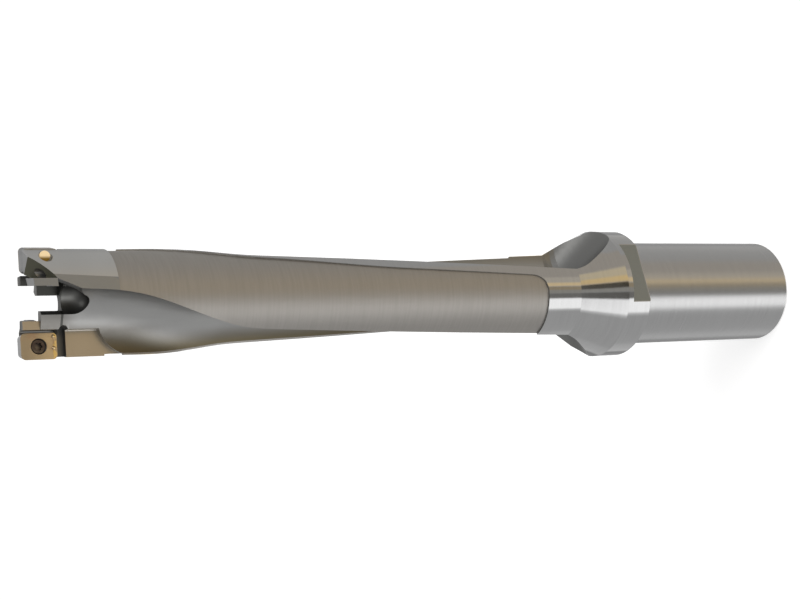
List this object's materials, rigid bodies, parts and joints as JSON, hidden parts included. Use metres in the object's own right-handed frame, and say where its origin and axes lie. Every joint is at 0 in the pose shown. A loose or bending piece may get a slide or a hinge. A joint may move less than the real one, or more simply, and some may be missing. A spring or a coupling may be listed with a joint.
{
  "type": "indexable drill",
  "caption": "Indexable drill with a cylindrical shank, a collar, a body with twisted chip flutes, screwed cutting inserts at the rim of the tip and an open slot for a centre head.",
  "frame": {"origin": "centre of the shank's end face, on the tool axis", "axes": "+Z along the tool axis from the shank end to the tip; -Y is the side of the first flute, which shows the first insert's rake face; +X is the side of the land with the front facet"},
  "size_m": [0.0392, 0.0392, 0.2493],
  "materials": {
    "body_steel": "satin nickel-grey steel, ground bright on the shank, neck and collar",
    "coated_carbide": "satin gold-coloured coating on the rake face, grey ground flanks",
    "screw_steel": "dark oxidised steel"
  },
  "bodies": {
    "root": {"drill_body": "body_steel", "outer_insert_front": "coated_carbide", "outer_insert_back": "coated_carbide", "insert_screws": "screw_steel"}
  },
  "joints": []
}
